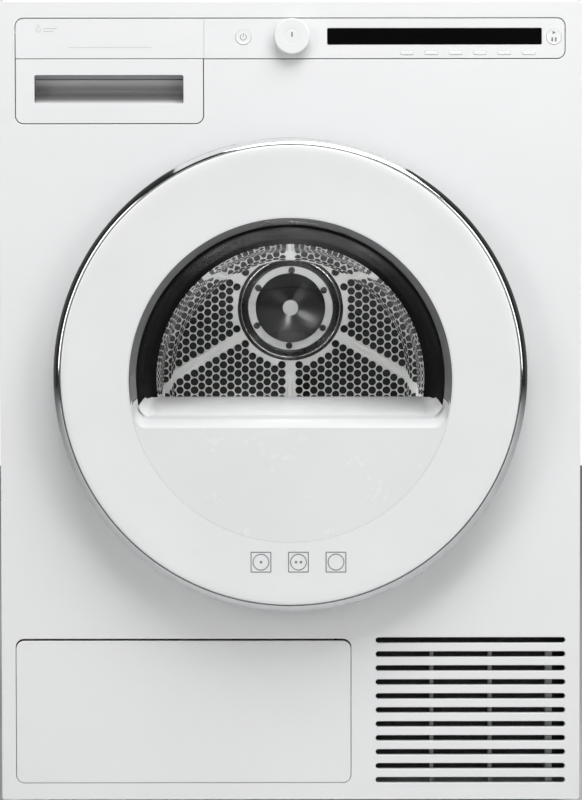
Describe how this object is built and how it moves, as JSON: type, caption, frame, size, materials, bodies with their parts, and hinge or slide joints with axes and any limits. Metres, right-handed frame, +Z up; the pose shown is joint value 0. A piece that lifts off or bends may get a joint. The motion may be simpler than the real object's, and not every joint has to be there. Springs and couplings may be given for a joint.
{
  "type": "clothes dryer",
  "caption": "Freestanding condenser tumble dryer with a round windowed door, control strip with knob, water drawer, service flap and air slots.",
  "frame": {"origin": "middle of the bounding box seen from above, at the floor", "axes": "+Z up; the front with the door faces -Y; +X is to the right seen from the front"},
  "size_m": [0.595, 0.654, 0.85],
  "materials": {
    "base_tray": "grey moulded plastic",
    "cable_gland": "black moulded plastic",
    "condenser": "bare aluminium",
    "container_sleeve": "grey moulded plastic",
    "control_board": "grey moulded plastic",
    "control_fascia": "white glossy plastic",
    "cooling_fan": "black moulded plastic",
    "display_window": "black glossy window",
    "door_cover": "white glossy plastic",
    "door_hinge_leaf": "galvanised or plain steel",
    "door_hook": "galvanised or plain steel",
    "door_inner_shell": "white glossy plastic",
    "door_ring": "polished chrome plating",
    "door_seal": "grey rubber",
    "drain_pump": "black moulded plastic",
    "drawer_front": "white glossy plastic",
    "drive_belt": "black rubber",
    "drum_axle": "galvanised or plain steel",
    "drum_back": "bright stainless sheet",
    "drum_hub": "turned and polished dark metal",
    "drum_lifter_1": "grey moulded plastic",
    "drum_lifter_2": "grey moulded plastic",
    "drum_lifter_3": "grey moulded plastic",
    "drum_shell": "bright stainless sheet",
    "foot_front_left": "black rubber",
    "foot_front_right": "black rubber",
    "foot_rear_left": "black rubber",
    "foot_rear_right": "black rubber",
    "front_bulkhead": "galvanised or plain steel",
    "front_panel": "white stoved enamel",
    "heater_duct": "grey moulded plastic",
    "hinge_bracket": "galvanised or plain steel",
    "hinge_pin": "bright stainless sheet",
    "idler_arm": "galvanised or plain steel",
    "idler_wheel": "black moulded plastic",
    "latch_housing": "black moulded plastic",
    "left_side_panel": "white stoved enamel",
    "lint_filter": "grey moulded plastic",
    "motor_shaft": "galvanised or plain steel",
    "motor_stator": "galvanised or plain steel",
    "option_button_1": "white glossy plastic",
    "option_button_2": "white glossy plastic",
    "option_button_3": "white glossy plastic",
    "option_button_4": "white glossy plastic",
    "option_button_5": "white glossy plastic",
    "option_button_6": "white glossy plastic",
    "power_button": "white glossy plastic",
    "process_fan": "black moulded plastic",
    "program_knob": "white glossy plastic",
    "rear_bulkhead": "galvanised or plain steel",
    "rear_duct_cover": "galvanised or plain steel",
    "rear_panel": "galvanised or plain steel",
    "right_side_panel": "white stoved enamel",
    "service_flap": "white stoved enamel",
    "start_button": "white glossy plastic",
    "vent_screen": "black moulded plastic",
    "water_container": "grey moulded plastic",
    "window_bezel": "white glossy plastic",
    "window_glass": "clear moulded glass",
    "worktop": "white stoved enamel"
  },
  "bodies": {
    "cabinet": {"base_tray": "base_tray", "cable_gland": "cable_gland", "condenser": "condenser", "container_sleeve": "container_sleeve", "control_board": "control_board", "control_fascia": "control_fascia", "display_window": "display_window", "door_seal": "door_seal", "drain_pump": "drain_pump", "drive_belt": "drive_belt", "front_bulkhead": "front_bulkhead", "front_panel": "front_panel", "heater_duct": "heater_duct", "hinge_bracket": "hinge_bracket", "hinge_pin": "hinge_pin", "latch_housing": "latch_housing", "left_side_panel": "left_side_panel", "lint_filter": "lint_filter", "motor_stator": "motor_stator", "rear_bulkhead": "rear_bulkhead", "rear_duct_cover": "rear_duct_cover", "rear_panel": "rear_panel", "right_side_panel": "right_side_panel", "vent_screen": "vent_screen", "worktop": "worktop"},
    "door": {"door_ring": "door_ring", "door_cover": "door_cover", "window_bezel": "window_bezel", "window_glass": "window_glass", "door_inner_shell": "door_inner_shell", "door_hook": "door_hook", "door_hinge_leaf": "door_hinge_leaf"},
    "drum": {"drum_shell": "drum_shell", "drum_back": "drum_back", "drum_hub": "drum_hub", "drum_axle": "drum_axle", "drum_lifter_1": "drum_lifter_1", "drum_lifter_2": "drum_lifter_2", "drum_lifter_3": "drum_lifter_3"},
    "motor_rotor": {"motor_shaft": "motor_shaft", "cooling_fan": "cooling_fan", "process_fan": "process_fan"},
    "belt_tensioner": {"idler_arm": "idler_arm"},
    "idler": {"idler_wheel": "idler_wheel"},
    "drawer": {"drawer_front": "drawer_front", "water_container": "water_container"},
    "flap": {"service_flap": "service_flap"},
    "knob": {"program_knob": "program_knob"},
    "power_button": {"power_button": "power_button"},
    "start_button": {"start_button": "start_button"},
    "option_button_1": {"option_button_1": "option_button_1"},
    "option_button_2": {"option_button_2": "option_button_2"},
    "option_button_3": {"option_button_3": "option_button_3"},
    "option_button_4": {"option_button_4": "option_button_4"},
    "option_button_5": {"option_button_5": "option_button_5"},
    "option_button_6": {"option_button_6": "option_button_6"},
    "foot_front_left": {"foot_front_left": "foot_front_left"},
    "foot_front_right": {"foot_front_right": "foot_front_right"},
    "foot_rear_left": {"foot_rear_left": "foot_rear_left"},
    "foot_rear_right": {"foot_rear_right": "foot_rear_right"}
  },
  "joints": [
    {"name": "door_hinge", "type": "hinge", "parent": "cabinet", "child": "door", "pos_m": [0.219, -0.308, 0.4605], "axis": [0, 0, 1], "range_deg": [0, 110]},
    {"name": "drum_spin", "type": "hinge", "parent": "cabinet", "child": "drum", "pos_m": [0, 0, 0.528], "axis": [0, 1, 0], "continuous": true},
    {"name": "motor_spin", "type": "hinge", "parent": "cabinet", "child": "motor_rotor", "pos_m": [0.165, 0, 0.12], "axis": [0, 1, 0], "continuous": true},
    {"name": "tensioner_swing", "type": "hinge", "parent": "cabinet", "child": "belt_tensioner", "pos_m": [-0.0022, 0.156, 0.18], "axis": [0, 1, 0], "range_deg": [0, 8], "stiffness_Nm_per_rad": 4, "springref_deg": -17.19},
    {"name": "idler_spin", "type": "hinge", "parent": "belt_tensioner", "child": "idler", "pos_m": [0.04992, 0.156, 0.15028], "axis": [0, 1, 0], "continuous": true},
    {"name": "drawer_slide", "type": "slide", "parent": "cabinet", "child": "drawer", "axis": [0, -1, 0], "range_m": [0, 0.38]},
    {"name": "flap_hinge", "type": "hinge", "parent": "cabinet", "child": "flap", "pos_m": [-0.11025, -0.2822, 0.0397], "axis": [1, 0, 0], "range_deg": [0, 90]},
    {"name": "knob_turn", "type": "hinge", "parent": "cabinet", "child": "knob", "pos_m": [0.002, -0.292, 0.8052], "axis": [0, 1, 0], "continuous": true},
    {"name": "power_button_press", "type": "slide", "parent": "cabinet", "child": "power_button", "axis": [0, 1, 0], "range_m": [0, 0.001], "stiffness_N_per_m": 600, "springref_m": -0.0005},
    {"name": "start_button_press", "type": "slide", "parent": "cabinet", "child": "start_button", "axis": [0, 1, 0], "range_m": [0, 0.001], "stiffness_N_per_m": 600, "springref_m": -0.0005},
    {"name": "option_button_1_press", "type": "slide", "parent": "cabinet", "child": "option_button_1", "axis": [0, 1, 0], "range_m": [0, 0.001], "stiffness_N_per_m": 600, "springref_m": -0.0005},
    {"name": "option_button_2_press", "type": "slide", "parent": "cabinet", "child": "option_button_2", "axis": [0, 1, 0], "range_m": [0, 0.001], "stiffness_N_per_m": 600, "springref_m": -0.0005},
    {"name": "option_button_3_press", "type": "slide", "parent": "cabinet", "child": "option_button_3", "axis": [0, 1, 0], "range_m": [0, 0.001], "stiffness_N_per_m": 600, "springref_m": -0.0005},
    {"name": "option_button_4_press", "type": "slide", "parent": "cabinet", "child": "option_button_4", "axis": [0, 1, 0], "range_m": [0, 0.001], "stiffness_N_per_m": 600, "springref_m": -0.0005},
    {"name": "option_button_5_press", "type": "slide", "parent": "cabinet", "child": "option_button_5", "axis": [0, 1, 0], "range_m": [0, 0.001], "stiffness_N_per_m": 600, "springref_m": -0.0005},
    {"name": "option_button_6_press", "type": "slide", "parent": "cabinet", "child": "option_button_6", "axis": [0, 1, 0], "range_m": [0, 0.001], "stiffness_N_per_m": 600, "springref_m": -0.0005},
    {"name": "foot_front_left_screw", "type": "slide", "parent": "cabinet", "child": "foot_front_left", "axis": [0, 0, -1], "range_m": [0, 0.012]},
    {"name": "foot_front_right_screw", "type": "slide", "parent": "cabinet", "child": "foot_front_right", "axis": [0, 0, -1], "range_m": [0, 0.012]},
    {"name": "foot_rear_left_screw", "type": "slide", "parent": "cabinet", "child": "foot_rear_left", "axis": [0, 0, -1], "range_m": [0, 0.012]},
    {"name": "foot_rear_right_screw", "type": "slide", "parent": "cabinet", "child": "foot_rear_right", "axis": [0, 0, -1], "range_m": [0, 0.012]}
  ],
  "couplings": [
    {"joint": "motor_spin", "follows": "drum_spin", "ratio": 21.53},
    {"joint": "idler_spin", "follows": "drum_spin", "ratio": -17.9}
  ]
}
